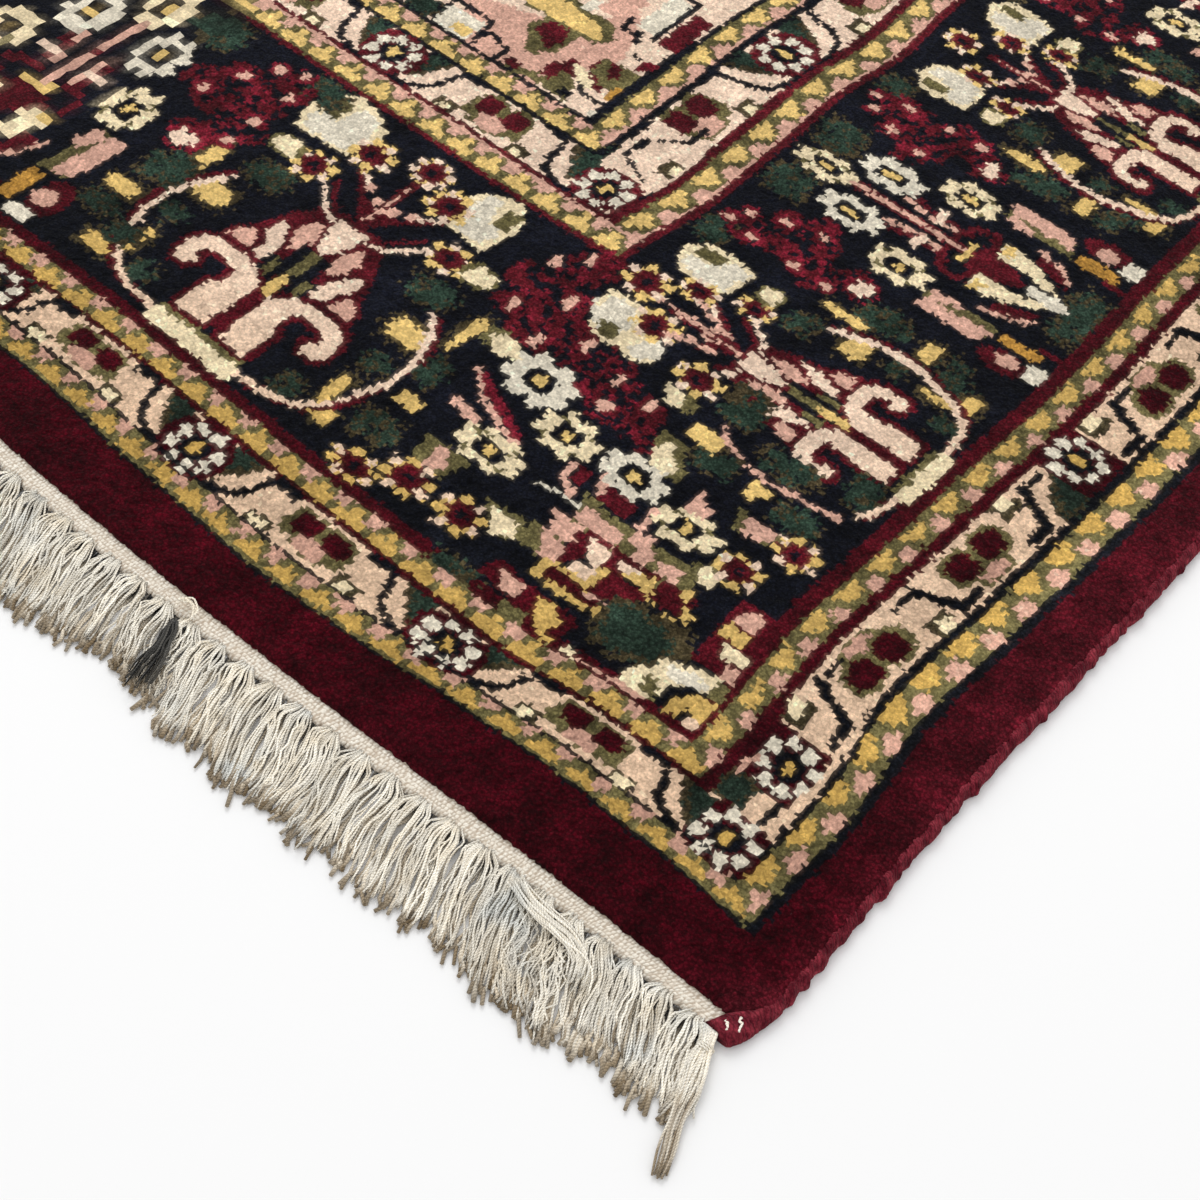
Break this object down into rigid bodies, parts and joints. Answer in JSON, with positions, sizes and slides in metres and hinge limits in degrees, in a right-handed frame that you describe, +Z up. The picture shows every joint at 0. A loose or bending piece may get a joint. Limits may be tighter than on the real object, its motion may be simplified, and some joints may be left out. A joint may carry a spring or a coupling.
{
  "type": "silk rug",
  "caption": "Rectangular knotted pile rug lying flat, with flat-woven ends, overcast sides and tasselled fringes.",
  "frame": {"origin": "centre of the rug, on the floor", "axes": "+X across the rug along its rows of knots, +Y along its length and +Z up"},
  "size_m": [1.3726, 2.2534, 0.0058],
  "materials": {
    "silk_pile": "cut silk pile with a soft sheen",
    "side_yarn": "wrapped burgundy yarn",
    "cotton_warp": "plied undyed cotton"
  },
  "bodies": {
    "root": {"Rug_Cloth": "silk_pile", "Side_Cord_Right": "side_yarn", "Side_Cord_Left": "side_yarn", "Fringe_Near": "cotton_warp", "Fringe_Far": "cotton_warp"}
  },
  "joints": []
}
